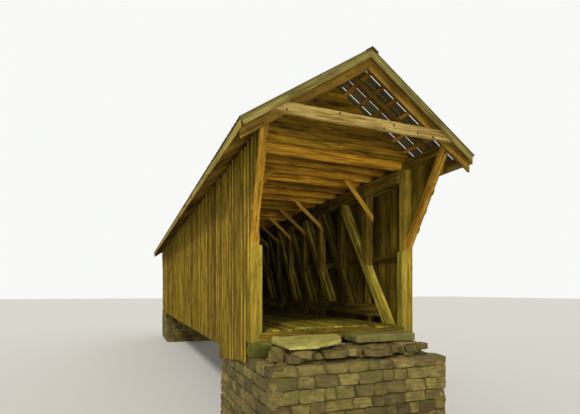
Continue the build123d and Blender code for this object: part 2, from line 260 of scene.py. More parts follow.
def bumped(tree, height, strength, distance):
    inputs = {"Height": height, "Strength": strength, "Distance": distance}
    return put(tree, "ShaderNodeBump", inputs).outputs[0]


def startMaterial(name):
    material = bpy.data.materials.new(name)
    material.use_nodes = True
    return material, material.node_tree, material.node_tree.nodes["Principled BSDF"]


def connect(tree, shader, sockets):
    for key, value in sockets.items():
        tree.links.new(value, shader.inputs[key])


def startGroup(name, inputs, outputs):
    group = bpy.data.node_groups.new(name, "ShaderNodeTree")
    for label, kind in inputs:
        group.interface.new_socket(name=label, in_out="INPUT", socket_type=kind)
    for label, kind in outputs:
        group.interface.new_socket(name=label, in_out="OUTPUT", socket_type=kind)
    start = group.nodes.new("NodeGroupInput").outputs
    end = group.nodes.new("NodeGroupOutput").inputs
    return group, start, end


# Sawn timber: streaks, broad bands, drying cracks and knots, with the grain along Z
sawn = {"shift": 60, "wander": (0.05, 0.05, 0), "fineShare": 0.45, "contrast": (0.41, 0.59),
        "crackAt": 0.56, "crackWidth": 0.022, "crackPatches": (0.4, 0.55), "crackCover": 0.75,
        "crackDepth": -1.6, "crackColor": (0.012, 0.008, 0.004, 1),
        "knots": 0.6, "knotEdge": (0.06, 0.13), "knotCover": 0.8, "knotDepth": -0.6,
        "knotColor": (0.035, 0.016, 0.006, 1), "toneLift": (1.05, 0.45), "patchLift": (0.62, 1.25),
        "roughness": (0.9, 0.72), "bump": 0.55, "bumpDepth": 0.004, "specular": 0.1}


def makeGrainGroup():
    group, start, end = startGroup(
        "timberGrain",
        [("Vector", "NodeSocketVector"), ("Tone", "NodeSocketFloat"), ("Light", "NodeSocketColor"),
         ("Dark", "NodeSocketColor"), ("Knots", "NodeSocketFloat")],
        [("Color", "NodeSocketColor"), ("Roughness", "NodeSocketFloat"), ("Height", "NodeSocketFloat")],
    )
    place = start["Vector"]
    shift = calc(group, "MULTIPLY", start["Tone"], sawn["shift"])
    wander = noise(group, stretched(group, place, (1, 1, 0.5)), 1.6, 2, shift=shift, outlet="Color")
    bent = vectorCalc(group, "MULTIPLY_ADD", wander, sawn["wander"], place)
    fine = noise(group, stretched(group, bent, (1, 1, 0.035)), 75, 5, 0.62, shift)
    broad = noise(group, stretched(group, bent, (1, 1, 0.08)), 11, 4, shift=shift)
    patchy = noise(group, place, 1.7, 5, 0.6, shift)
    grain = spread(group, shared(group, fine, broad, sawn["fineShare"]), *sawn["contrast"])
    split = noise(group, stretched(group, bent, (1, 1, 0.02)), 26, 1, shift=shift)
    offLine = calc(group, "ABSOLUTE", calc(group, "SUBTRACT", split, sawn["crackAt"]))
    crack = spread(group, offLine, 0.0, sawn["crackWidth"], 1.0, 0.0)
    crack = calc(group, "MULTIPLY", crack, spread(group, patchy, *sawn["crackPatches"]))
    spot = put(group, "ShaderNodeTexVoronoi", {
        "Vector": stretched(group, place, (1, 1, 0.55)), "W": shift, "Scale": 3.1,
    }, voronoi_dimensions="4D").outputs["Distance"]
    knot = calc(group, "MULTIPLY", spread(group, spot, *sawn["knotEdge"], 1.0, 0.0), start["Knots"])
    lift = calc(group, "MULTIPLY_ADD", start["Tone"], *sawn["toneLift"])
    lift = calc(group, "MULTIPLY", lift, spread(group, patchy, 0.3, 0.7, *sawn["patchLift"]))
    color = lifted(group, blend(group, grain, start["Dark"], start["Light"]), lift)
    color = blend(group, calc(group, "MULTIPLY", crack, sawn["crackCover"]), color, sawn["crackColor"])
    color = blend(group, calc(group, "MULTIPLY", knot, sawn["knotCover"]), color, sawn["knotColor"])
    group.links.new(color, end["Color"])
    group.links.new(spread(group, grain, 0.0, 1.0, *sawn["roughness"]), end["Roughness"])
    dent = calc(group, "MULTIPLY_ADD", crack, sawn["crackDepth"], grain)
    group.links.new(calc(group, "MULTIPLY_ADD", knot, sawn["knotDepth"], dent), end["Height"])
    return group


# Weathered stone: mottled tone, pits and thin growth in patches
worn = {"shift": 40, "layerShare": 0.4, "body": (0.36, 0.66), "toneLift": (0.45, 1.3), "pits": (0.32, 0.46),
        "pitCover": 0.55, "pitColor": (0.03, 0.025, 0.012, 1), "pitDepth": 0.45, "growthEdge": (0.5, 0.64),
        "roughness": (0.95, 0.78), "bump": 0.7, "bumpDepth": 0.02, "specular": 0.3}


def makeStoneGroup():
    group, start, end = startGroup(
        "stoneFace",
        [("Vector", "NodeSocketVector"), ("Tone", "NodeSocketFloat"), ("Light", "NodeSocketColor"),
         ("Dark", "NodeSocketColor"), ("Growth", "NodeSocketColor"), ("Growth Amount", "NodeSocketFloat")],
        [("Color", "NodeSocketColor"), ("Roughness", "NodeSocketFloat"), ("Height", "NodeSocketFloat")],
    )
    place = start["Vector"]
    shift = calc(group, "MULTIPLY", start["Tone"], worn["shift"])
    mottle = noise(group, place, 5, 8, 0.65, shift)
    pits = noise(group, place, 42, 6, 0.7, shift)
    layers = noise(group, stretched(group, place, (1, 1, 6)), 3.5, 5, shift=shift)
    body = spread(group, shared(group, layers, mottle, worn["layerShare"]), *worn["body"])
    lift = spread(group, start["Tone"], 0.0, 1.0, *worn["toneLift"])
    color = lifted(group, blend(group, body, start["Dark"], start["Light"]), lift)
    pitted = spread(group, pits, *worn["pits"], worn["pitCover"], 0.0)
    color = blend(group, pitted, color, worn["pitColor"])
    patch = noise(group, place, 1.9, 7, 0.62)
    cover = calc(group, "MULTIPLY", spread(group, patch, *worn["growthEdge"]), start["Growth Amount"])
    color = blend(group, cover, color, start["Growth"])
    group.links.new(color, end["Color"])
    group.links.new(spread(group, pits, 0.3, 0.7, *worn["roughness"]), end["Roughness"])
    group.links.new(calc(group, "MULTIPLY_ADD", pits, worn["pitDepth"], mottle), end["Height"])
    return group


# Rain and splash marks: streaks that run down, heavier towards the lower of two heights
wash = {"fade": 0.34, "streak": 0.72, "edge": (0.38, 0.62), "amount": 0.6}


def makeStainGroup():
    group, start, end = startGroup(
        "rainStain",
        [("Vector", "NodeSocketVector"), ("Low", "NodeSocketFloat"), ("High", "NodeSocketFloat")],
        [("Mask", "NodeSocketFloat")],
    )
    height = put(group, "ShaderNodeSeparateXYZ", {0: start["Vector"]}).outputs["Z"]
    streak = noise(group, stretched(group, start["Vector"], (1, 1, 0.12)), 4.5, 6, 0.6)
    fade = spread(group, height, start["Low"], start["High"], 1.0, 0.0)
    wet = calc(group, "MULTIPLY_ADD", fade, wash["fade"], calc(group, "MULTIPLY", streak, wash["streak"]))
    group.links.new(spread(group, wet, *wash["edge"]), end["Mask"])
    return group


grainGroup = makeGrainGroup()
stoneGroup = makeStoneGroup()
stainGroup = makeStainGroup()


def grainVector(tree, along, angle):
    # Object coordinates turned until the grain runs along Z
    place = objectPlace(tree)
    turns = {"z": (0, 0, 0), "y": (math.pi / 2, 0, 0), "x": (0, -math.pi / 2, 0),
             "leanY": (angle, 0, 0), "leanX": (0, angle, 0)}
    if along in ("leanX", "leanY"):
        # Leaning timbers are folded onto one side first
        place = vectorCalc(tree, "ABSOLUTE", place)
    return put(tree, "ShaderNodeMapping", {"Vector": place, "Rotation": turns[along]}).outputs[0]


def memberTone(tree, look):
    # Each timber of a row gets its own tone from the cell it stands in, counted from the row's start
    place = objectPlace(tree)
    if "mirror" in look:
        place = vectorCalc(tree, "ABSOLUTE", place)
    if "fold" in look:
        # A brace keeps the same |Y| + fold * Z all along
        axes = put(tree, "ShaderNodeSeparateXYZ", {0: place}).outputs
        row = calc(tree, "MULTIPLY_ADD", axes["Z"], look["fold"], calc(tree, "ABSOLUTE", axes["Y"]))
        place = put(tree, "ShaderNodeCombineXYZ", {0: axes["X"], 1: row}).outputs[0]
    place = vectorCalc(tree, "SUBTRACT", place, look.get("start", (0, 0, 0)))
    cell = vectorCalc(tree, "SNAP", place, look["member"])
    return put(tree, "ShaderNodeTexWhiteNoise", {"Vector": cell}).outputs["Value"]


def timberMaterial(name, look):
    material, tree, shader = startMaterial(name)
    if "even" in look:
        tone = look["even"]
    elif "member" in look:
        tone = memberTone(tree, look)
    else:
        tone = put(tree, "ShaderNodeAttribute", attribute_name="tone").outputs["Fac"]
    wood = put(tree, "ShaderNodeGroup", {
        "Vector": grainVector(tree, look["along"], look.get("angle", 0)), "Tone": tone,
        "Light": (*look["light"], 1), "Dark": (*look["dark"], 1), "Knots": look.get("knots", sawn["knots"]),
    }, node_tree=grainGroup).outputs
    color = wood["Color"]
    if "stain" in look:
        low, high = look["stainHeights"]
        wet = put(tree, "ShaderNodeGroup", {"Vector": objectPlace(tree), "Low": low, "High": high},
                  node_tree=stainGroup).outputs["Mask"]
        covered = calc(tree, "MULTIPLY", wet, look.get("stainAmount", wash["amount"]))
        color = blend(tree, covered, color, (*look["stain"], 1))
    connect(tree, shader, {
        "Base Color": color, "Roughness": wood["Roughness"],
        "Normal": bumped(tree, wood["Height"], sawn["bump"], sawn["bumpDepth"]),
    })
    shader.inputs["Specular IOR Level"].default_value = sawn["specular"]
    return material


def stoneMaterial(name, look):
    material, tree, shader = startMaterial(name)
    face = put(tree, "ShaderNodeGroup", {
        "Vector": objectPlace(tree),
        "Tone": put(tree, "ShaderNodeAttribute", attribute_name="tone").outputs["Fac"],
        "Light": (*look["light"], 1), "Dark": (*look["dark"], 1), "Growth": (*look["growth"], 1),
        "Growth Amount": look["amount"],
    }, node_tree=stoneGroup).outputs
    connect(tree, shader, {
        "Base Color": face["Color"], "Roughness": face["Roughness"],
        "Normal": bumped(tree, face["Height"], worn["bump"], worn["bumpDepth"]),
    })
    shader.inputs["Specular IOR Level"].default_value = worn["specular"]
    return material


# Dull sheet roofing: faded coating, rust in patches and streaks
sheetLook = {"run": (0.25, 2.2, 0.25), "streakShare": 0.5, "rustEdge": (0.5, 0.6), "fadeEdge": (0.35, 0.65),
             "dark": (0.075, 0.066, 0.022, 1), "light": (0.165, 0.145, 0.065, 1),
             "rust": (0.13, 0.055, 0.014, 1), "roughness": (0.6, 0.9), "metallic": (0.3, 0.05),
             "bump": 0.3, "bumpDepth": 0.003}


def roofMaterial():
    material, tree, shader = startMaterial("roofSheeting")
    place = objectPlace(tree)
    run = stretched(tree, vectorCalc(tree, "ABSOLUTE", place), sheetLook["run"])
    streak = noise(tree, run, 4, 8, 0.65)
    patch = noise(tree, place, 1.3, 9, 0.7)
    both = shared(tree, streak, patch, sheetLook["streakShare"])
    rust = spread(tree, both, *sheetLook["rustEdge"])
    color = blend(tree, spread(tree, patch, *sheetLook["fadeEdge"]), sheetLook["dark"], sheetLook["light"])
    connect(tree, shader, {
        "Base Color": blend(tree, rust, color, sheetLook["rust"]),
        "Roughness": spread(tree, rust, 0.0, 1.0, *sheetLook["roughness"]),
        "Metallic": spread(tree, rust, 0.0, 1.0, *sheetLook["metallic"]),
        "Normal": bumped(tree, both, sheetLook["bump"], sheetLook["bumpDepth"]),
    })
    return material


# Bolt steel, rusted in small flecks
steelLook = {"flecks": 120, "rustEdge": (0.4, 0.6), "bare": (0.07, 0.06, 0.05, 1),
             "rust": (0.12, 0.045, 0.015, 1), "roughness": (0.5, 0.9), "metallic": (0.7, 0.1)}


def steelMaterial():
    material, tree, shader = startMaterial("boltSteel")
    rust = spread(tree, noise(tree, objectPlace(tree), steelLook["flecks"], 5), *steelLook["rustEdge"])
    connect(tree, shader, {
        "Base Color": blend(tree, rust, steelLook["bare"], steelLook["rust"]),
        "Roughness": spread(tree, rust, 0.0, 1.0, *steelLook["roughness"]),
        "Metallic": spread(tree, rust, 0.0, 1.0, *steelLook["metallic"]),
    })
    return material


# Timber finishes. Colours are linear values for the light and dark grain. A row's timbers differ in
# tone by cell (member, start, mirror, fold), an even tone is the same all over, and the rest use their
# own tone attribute. Braces lean by braceTurn.
rafterTurn = math.pi / 2 - slopeAngle
braceTurn = -0.587
old = {"light": (0.27, 0.18, 0.02), "dark": (0.06, 0.036, 0.004)}
tieRow = {"member": (9, 0.78, 9), "start": (-4.5, -11.515, 0)}
looks = {
    "postTimber": dict(old, along="z", member=(9, 0.78, 9), start=(0, -11.31, 0)),
    "chordTimber": dict(old, along="y", member=(9, 4.3, 0.7)),
    "beamTimber": dict(old, along="x", **tieRow),
    "tieTimber": {"light": (0.62, 0.31, 0.022), "dark": (0.19, 0.083, 0.005), "along": "x",
                  "knots": 0.9, **tieRow},
    "braceTimber": {"light": (0.34, 0.26, 0.03), "dark": (0.08, 0.056, 0.006), "along": "leanY",
                    "angle": braceTurn, "member": (9, 1.56, 9), "start": (0, 3.755, 0), "fold": 0.666},
    "endBraceTimber": {"light": (0.62, 0.49, 0.06), "dark": (0.16, 0.12, 0.012), "along": "leanY",
                       "angle": braceTurn, "even": 0.55},
    "rafterTimber": {"light": (0.35, 0.2, 0.022), "dark": (0.11, 0.055, 0.006),
                     "along": "leanX", "angle": rafterTurn, "member": (9, 0.39, 9)},
    "kneeTimber": {"light": (0.64, 0.36, 0.035), "dark": (0.28, 0.15, 0.012), "along": "leanX",
                   "angle": 0.87, "member": (9, 0.78, 9), "start": (0, -11.515, 0), "knots": 0.8},
    "purlinTimber": {"light": (0.5, 0.24, 0.03), "dark": (0.2, 0.085, 0.008), "along": "y",
                     "member": (0.358, 5, 9), "start": (0.108, 0, 0), "mirror": True},
    "portalPostTimber": {"light": (0.46, 0.33, 0.035), "dark": (0.17, 0.115, 0.01), "along": "z",
                         "even": 0.45, "stain": (0.2, 0.17, 0.02), "stainHeights": (2.4, 3.6)},
    "cheekTimber": {"light": (0.46, 0.37, 0.05), "dark": (0.23, 0.17, 0.02), "along": "z", "even": 0.42},
    "strutTimber": {"light": (0.55, 0.29, 0.025), "dark": (0.2, 0.1, 0.008), "along": "leanY",
                    "angle": 0.42, "member": (2, 20, 20), "start": (2.14, 0, 0), "mirror": True,
                    "knots": 1.0},
    "portalTieTimber": {"light": (0.56, 0.41, 0.12), "dark": (0.16, 0.095, 0.016), "along": "x",
                        "even": 0.5, "knots": 1.0},
    "bargeTimber": {"light": (0.36, 0.3, 0.085), "dark": (0.15, 0.12, 0.025), "along": "leanX",
                    "angle": rafterTurn, "even": 0.4, "knots": 0.7},
    "fasciaTimber": {"light": (0.5, 0.4, 0.08), "dark": (0.17, 0.115, 0.018), "along": "y", "even": 0.55},
    "blockTimber": {"light": (0.34, 0.3, 0.06), "dark": (0.12, 0.11, 0.02), "along": "x", "even": 0.5,
                    "stain": (0.04, 0.05, 0.005), "stainHeights": (2.1, 2.9), "stainAmount": 0.85},
    "wallBoards": {"light": (0.35, 0.235, 0.022), "dark": (0.095, 0.06, 0.005), "along": "z",
                   "knots": 0.5, "stain": (0.17, 0.135, 0.018), "stainHeights": (1.9, 4.0),
                   "stainAmount": 0.25},
    "gableBoards": {"light": (0.28, 0.155, 0.01), "dark": (0.05, 0.024, 0.002), "along": "x", "knots": 0.9},
    "floorBoards": {"light": (0.35, 0.275, 0.03), "dark": (0.12, 0.09, 0.008), "along": "y", "knots": 0.5},
}
finishes = {name: timberMaterial(name, look) for name, look in looks.items()}
finishes["roofSheeting"] = roofMaterial()
finishes["boltSteel"] = steelMaterial()
finishes["fieldStone"] = stoneMaterial("fieldStone", {
    "light": (0.29, 0.22, 0.06), "dark": (0.08, 0.06, 0.015), "growth": (0.1, 0.105, 0.012), "amount": 0.6})
finishes["slabStone"] = stoneMaterial("slabStone", {
    "light": (0.48, 0.43, 0.11), "dark": (0.23, 0.2, 0.04), "growth": (0.23, 0.22, 0.035), "amount": 0.45})
print("materials", len(finishes))


# Nodes whose shape is right keep it and take a finish
nodeFinishes = {
    "postTimber": ["left_posts", "right_posts", "left_post_plies", "right_post_plies"],
    "chordTimber": ["left_kerb_chord", "right_kerb_chord", "left_top_chord", "right_top_chord",
                    "left_lower_chord", "right_lower_chord", "left_side_rails", "right_side_rails",
                    "wall_plates"],
    "fasciaTimber": ["eave_fascias"],
    "tieTimber": ["tie_beams"],
    "beamTimber": ["floor_beams", "end_sills"],
    "braceTimber": ["left_braces", "right_braces"],
    "endBraceTimber": ["end_braces"],
    "rafterTimber": ["left_rafters", "right_rafters"],
    "kneeTimber": ["knee_braces"],
    "purlinTimber": ["left_purlins", "right_purlins"],
    "portalPostTimber": ["portal_posts"],
    "cheekTimber": ["cheek_boards"],
    "strutTimber": ["portal_struts"],
    "portalTieTimber": ["portal_ties"],
    "bargeTimber": ["barge_boards"],
    "blockTimber": ["bearing_blocks"],
    "floorBoards": ["middle_deck"],
    "roofSheeting": ["ridge_cap"],
}
for finish, nodes in nodeFinishes.items():
    for node in nodes:
        dress(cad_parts[node], finishes[finish])


# Side walls: upright boards with battens over the joints. A wing follows its strut. On top of their random
# weathered tones, the battens are set lighter as a painted highlight and the boards darker as painted shade.
walls = {"pitch": 0.298, "joint": 0.007, "jointSpread": (0.5, 1.6), "board": 0.02, "batten": 0.028,
         "battenWidth": 0.06, "battenSpread": (0.85, 1.1), "edge": 0.003, "ragged": 0.11,
         "wingRagged": 0.04, "wingDrop": 0.05, "hemRagged": 0.03, "hem": 0.451, "skirtLength": 3.15,
         "postDepth": 0.24, "rake": {-1: 0.3444, 1: 0.61}, "boardTonesWithPaintedShade": (-0.18, 0.5),
         "battenTonesWithPaintedHighlight": (0.5, 1.4), "seed": 4}


def wallFoot(y, low):
    # The skirts near the portals hang lower than the rest. Beside a post, boards end at its foot.
    inside = min(y - portalY, -portalY - y)
    if inside < 0:
        return strutFootZ - walls["wingDrop"]
    if inside < walls["postDepth"]:
        return footZ
    skirt = footZ - walls["hem"]
    if inside < walls["skirtLength"]:
        skirt -= (skirt - low) * inside / walls["skirtLength"]
    return skirt


def makeWall(name, side):
    low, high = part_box(name)
    chance = random.Random(walls["seed"] + side)
    board = makeBoard("board", walls["board"], walls["edge"])
    batten = makeBoard("batten", walls["batten"], walls["edge"])
    boardX = wallInner if side > 0 else -wallInner - walls["board"]
    battenX = wallInner + walls["board"] if side > 0 else boardX - walls["batten"]
    parts = []
    for isWing, start, end in ((True, low.y, portalY), (False, portalY, -portalY), (True, -portalY, high.y)):
        ragged = walls["wingRagged"] if isWing else walls["ragged"]
        count = max(1, round((end - start) / walls["pitch"]))
        step = (end - start) / count
        boards, boardTonesWithPaintedShade, battens, battenTonesWithPaintedHighlight = [], [], [], []
        for index in range(count):
            y = start + step * (index + 0.5)
            width = step - walls["joint"] * chance.uniform(*walls["jointSpread"])
            foot = wallFoot(y, low.z) + chance.random() * walls["hemRagged"]
            top = high.z - chance.random() * ragged
            boards.append(placed(boardX, y, foot, width, top - foot))
            # A board's random weathered tone, set low as painted shade
            boardTonesWithPaintedShade.append(chance.uniform(*walls["boardTonesWithPaintedShade"]))
        for index in range(1 if isWing else 0, count if isWing else count + 1):
            y = start + step * index
            width = walls["battenWidth"] * chance.uniform(*walls["battenSpread"])
            y = min(max(y, start + width / 2), end - width / 2)
            foot = wallFoot(y, low.z) + chance.random() * walls["hemRagged"]
            top = high.z - chance.random() * ragged
            battens.append(placed(battenX, y, foot, width, top - foot))
            # A batten's random weathered tone, set high as a painted highlight
            battenTonesWithPaintedHighlight.append(chance.uniform(*walls["battenTonesWithPaintedHighlight"]))
        built = [copyOut(board, "boards", boards, boardTonesWithPaintedShade),
                 copyOut(batten, "battens", battens, battenTonesWithPaintedHighlight)]
        if isWing:
            near = start < 0
            edge = portalY if near else -portalY
            for layer in built:
                cutAway(layer, (0, edge, strutFootZ), (0, -1 if near else 1, -walls["rake"][side]))
        parts.extend(built)
    throwAway(board, batten)
    wall = joinPieces(name.replace("siding", "wallBoards"), parts)
    finishPiece(wall, finishes["wallBoards"], "weathered_boards", name)


makeWall("left_siding", -1)
makeWall("right_siding", 1)
print("side walls")


# Gables: wide boards laid level on the gable rafters and cut to the roof
gables = {"boardHeight": 0.265, "board": 0.019, "joint": 0.006, "lean": 0.01, "spread": (0.5, 1.5),
          "setBack": 0.003, "edge": 0.003, "seed": 11}


def makeGables():
    low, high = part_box("gable_walls")
    board = makeBoard("board", gables["board"], gables["edge"])
    lieAcross = Matrix(((0, 0, 1, 0), (1, 0, 0, 0), (0, 1, 0, 0), (0, 0, 0, 1)))
    chance = random.Random(gables["seed"])
    pieces = []
    for end in (-1, 1):
        face = low.y + gables["setBack"] if end < 0 else high.y - gables["board"] - gables["setBack"]
        count = math.ceil((high.z - low.z) / gables["boardHeight"])
        places, tones = [], []
        for index in range(count):
            height = low.z + gables["boardHeight"] * (index + 0.5)
            tilt = Matrix.Rotation(end * gables["lean"] * chance.uniform(*gables["spread"]), 4, "X")
            wide = gables["boardHeight"] - gables["joint"] * chance.uniform(*gables["spread"])
            size = Matrix.Diagonal((1, wide, high.x - low.x, 1))
            places.append(Matrix.Translation((low.x, face, height)) @ tilt @ lieAcross @ size)
            tones.append(chance.random())
        wall = copyOut(board, "gable", places, tones)
        for side in (-1, 1):
            cutAway(wall, (0, 0, high.z), (side * math.sin(slopeAngle), 0, math.cos(slopeAngle)))
        pieces.append(wall)
    throwAway(board)
    boards = joinPieces("gableBoards", pieces)
    finishPiece(boards, finishes["gableBoards"], "weathered_boards", "gable_walls")


makeGables()
print("gables")


# Floor: boards along the road, butted end to end, with the raised runner between the side strips
floors = {"joint": 0.009, "jointSpread": (0.6, 1.6), "edge": 0.004, "length": 4.1,
          "firstLength": (0.35, 1.0), "nextLength": (0.85, 1.1), "shortest": 0.9, "endJoint": 0.006,
          "raggedStart": 0.035, "endRest": 0.05, "stripGap": 0.012, "rightRows": 3, "leftRows": 4,
          "runnerRows": 9, "seed": 21}


def layBoards(name, low, high, count):
    chance = random.Random(floors["seed"] + count)
    board = makeBoard("board", high.z - low.z, floors["edge"])
    places, tones = [], []
    width = (high.x - low.x) / count
    for row in range(count):
        x = low.x + width * (row + 0.5)
        y = low.y + chance.random() * floors["raggedStart"]
        run = floors["length"] * chance.uniform(*floors["firstLength"])
        while y < high.y - floors["endRest"]:
            end = min(y + run, high.y)
            if high.y - end < floors["shortest"]:
                end = high.y
            wide = width - floors["joint"] * chance.uniform(*floors["jointSpread"])
            size = Matrix.Diagonal((1, wide, end - y - floors["endJoint"], 1))
            lie = Matrix(((0, 1, 0, x), (0, 0, 1, y), (1, 0, 0, low.z), (0, 0, 0, 1)))
            places.append(lie @ size)
            tones.append(chance.random())
            y = end
            run = floors["length"] * chance.uniform(*floors["nextLength"])
    piece = copyOut(board, name, places, tones)
    throwAway(board)
    return piece


def makeFloor():
    low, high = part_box("side_decks")
    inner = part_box("middle_deck")[1].x + floors["stripGap"]
    right = layBoards("rightStrip", Vector((inner, low.y, low.z)), high, floors["rightRows"])
    left = layBoards("leftStrip", low, Vector((-inner, high.y, high.z)), floors["leftRows"])
    strips = joinPieces("sideDeckBoards", [right, left])
    finishPiece(strips, finishes["floorBoards"], "deck_boards", "side_decks")
    runner = layBoards("runnerBoards", *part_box("runner"), floors["runnerRows"])
    finishPiece(runner, finishes["floorBoards"], "deck_boards", "runner")


makeFloor()
print("floor")


# Roof: ribbed sheets from ridge to eave, with open joints over the overhangs
roof = {"sheetWidth": 0.6, "rib": 0.014, "thickness": 0.0015, "rows": 30, "slits": (0.94, 0.34, 0.02),
        "slit": 0.018, "seed": 31}


def makeSheet():
    # One sheet of unit size, flat but for the rows that stand up as ribs
    rowCount = roof["rows"]
    ribRows = (1, rowCount // 3, 2 * rowCount // 3, rowCount - 1)
    clearSelection()
    bpy.ops.mesh.primitive_grid_add(x_subdivisions=1, y_subdivisions=rowCount, size=1, location=(0.5, 0, 0))
    sheet = settled()
    bpy.ops.object.mode_set(mode="EDIT")
    bpy.ops.mesh.select_mode(type="VERT")
    bpy.ops.mesh.select_all(action="DESELECT")
    bpy.ops.object.mode_set(mode="OBJECT")
    for vertex in sheet.data.vertices:
        vertex.select = round((vertex.co.y + 0.5) * rowCount) in ribRows
    bpy.ops.object.mode_set(mode="EDIT")
    bpy.ops.transform.translate(value=(0, 0, roof["rib"]))
    bpy.ops.object.mode_set(mode="OBJECT")
    solid = sheet.modifiers.new("thickness", "SOLIDIFY")
    solid.thickness = roof["thickness"]
    solid.offset = 1
    applyModifiers(sheet)
    return sheet


def makeSheets(name, side):
    low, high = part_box(name)
    reach = high.x - low.x - (roof["rib"] + roof["thickness"]) * math.sin(slopeAngle)
    length = reach / math.cos(slopeAngle)
    sheet = makeSheet()
    joints = [portalY - slit for slit in roof["slits"]]
    near = [low.y] + joints
    far = [-value for value in reversed(near)]
    middle = far[0] - near[-1]
    count = round(middle / roof["sheetWidth"])
    edges = near + [near[-1] + middle * index / count for index in range(1, count)] + far
    places, tones = [], []
    chance = random.Random(roof["seed"] + side)
    lean = Matrix.Rotation(side * slopeAngle, 4, "Y")
    spin = Matrix.Rotation(0 if side > 0 else math.pi, 4, "Z")
    underside = low.z + (high.x - low.x) * bridge["pitch"]
    opened = [abs(joint) for joint in joints]
    for start, end in zip(edges, edges[1:]):
        # Only an edge at an open joint is drawn back, the others meet
        begin = start + (roof["slit"] / 2 if abs(start) in opened else 0)
        finish = end - (roof["slit"] / 2 if abs(end) in opened else 0)
        size = Matrix.Diagonal((length, finish - begin, 1, 1))
        places.append(Matrix.Translation((0, (begin + finish) / 2, underside)) @ lean @ spin @ size)
        tones.append(chance.random())
    piece = copyOut(sheet, name.replace("sheet", "sheeting"), places, tones)
    throwAway(sheet)
    finishPiece(piece, finishes["roofSheeting"], "roof_metal", name)


makeSheets("left_roof_sheet", -1)
makeSheets("right_roof_sheet", 1)
print("roof")


# Stone: laid field stone on the abutments, rubble under the steps, two rough slabs at each portal
stones = {"courseLow": 0.17, "courseHigh": 0.3, "longest": 0.72, "shortest": 0.26, "joint": 0.016,
          "sliver": 0.02, "depth": 0.3, "core": 0.05, "coreEdge": 0.08, "ledge": 1.3, "cap": 0.18,
          "wobble": 0.07, "batter": 0.2, "batterReach": 0.2, "seed": 51}
blockShape = {"count": 4, "shake": 0.09, "evenness": 0.7, "rim": 0.08, "rimFrom": 0.38, "smoothTo": 38,
              "seed": 3}


def onRim(a, b):
    # True for the edges where two sides of a block meet
    return sum(abs(value) > blockShape["rimFrom"] for value in (a + b) / 2) > 1


def makeStones():
    # Rough blocks of unit size, centred on the origin
    blocks = []
    for index in range(blockShape["count"]):
        block = addBox("stone", (-0.5, -0.5, -0.5), (0.5, 0.5, 0.5))
        editAll()
        bpy.ops.mesh.subdivide(number_cuts=1)
        bpy.ops.mesh.select_all(action="SELECT")
        bpy.ops.transform.vertex_random(offset=blockShape["shake"], uniform=blockShape["evenness"],
                                        normal=0.0, seed=blockShape["seed"] + index)
        bpy.ops.object.mode_set(mode="OBJECT")
        bevelEdges(block, onRim, blockShape["rim"])
        bpy.ops.object.shade_smooth_by_angle(angle=math.radians(blockShape["smoothTo"]))
        blocks.append(block)
    return blocks


def faceStones(width, height, chance):
    # Centre and size of each stone of one face, from its lower corner, in running courses
    result = []
    level = 0.0
    while level < height - stones["sliver"]:
        course = chance.uniform(stones["courseLow"], stones["courseHigh"])
        if height - level - course < stones["courseLow"]:
            course = height - level
        along = 0.0
        while along < width - stones["sliver"]:
            run = chance.uniform(stones["shortest"], stones["longest"])
            if width - along - run < stones["shortest"]:
                run = width - along
            centre = (along + run / 2, level + course / 2)
            result.append((*centre, run - stones["joint"], course - stones["joint"]))
            along += run
        level += course
    return result


def dealOut(blocks, places, chance, matrixOf):
    # The places are dealt to the blocks in turn, and each stone has its own tone
    pieces = []
    for index, block in enumerate(blocks):
        matrices = [matrixOf(*place) for place in places[index::len(blocks)]]
        pieces.append(copyOut(block, "stones", matrices, [chance.random() for _ in matrices]))
    return pieces


def makeAbutment(name, blocks):
    low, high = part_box(name)
    near = low.y < 0
    chance = random.Random(stones["seed"] + (0 if near else 1))
    depth, batterWidth, height = stones["depth"], stones["batter"], high.z - low.z
    places = []
    for side in (-1, 1):
        x = (low.x if side < 0 else high.x) - side * depth / 2
        for along, level, run, course in faceStones(high.y - low.y - batterWidth, height, chance):
            y = low.y + along + (0 if near else batterWidth)
            places.append(((x, y, low.z + level), (depth, run, course)))
    for end in (-1, 1):
        creek = (end > 0) == near
        face = low.y if end < 0 else high.y
        for along, level, run, course in faceStones(high.x - low.x, height, chance):
            batter = batterWidth * (level / height) if creek else 0
            y = face - end * (depth / 2 + batter)
            places.append(((low.x + along, y, low.z + level), (run, depth, course)))
    ledge, cap = stones["ledge"], stones["cap"]
    start = low.y if near else high.y - ledge
    for along, level, run, course in faceStones(high.x - low.x - 2 * depth, ledge - depth, chance):
        y = start + level + (depth if near else 0)
        places.append(((low.x + depth + along, y, high.z - cap / 2), (run, course, cap)))

    def laid(centre, size):
        angle = chance.uniform(-stones["wobble"], stones["wobble"])
        wobble = Matrix.Rotation(angle, 4, "XYZ"[chance.randrange(3)])
        return Matrix.Translation(centre) @ wobble @ Matrix.Diagonal((*size, 1))

    pieces = dealOut(blocks, places, chance, laid)
    inset = stones["core"]
    core = addBox("core", low + Vector((inset, inset, 0)), high - Vector((inset, inset, inset)))
    bevelEdges(core, isUpright, stones["coreEdge"], 2)
    creekY = high.y if near else low.y
    for vertex in core.data.vertices:
        if abs(vertex.co.y - creekY) < stones["batterReach"]:
            vertex.co.y -= (1 if near else -1) * batterWidth * (vertex.co.z - low.z) / height
    stonework = joinPieces(name.replace("abutment", "stonework"), pieces + [core])
    # A wobbling stone may not dip below the foot
    for vertex in stonework.data.vertices:
        vertex.co.z = max(vertex.co.z, low.z)
    finishPiece(stonework, finishes["fieldStone"], "masonry", name)


rubble = {"length": 1.16, "count": 88, "long": (0.22, 0.5), "wide": (0.2, 0.4), "thick": (0.12, 0.22),
          "turn": (-0.5, 0.5), "seed": 60}


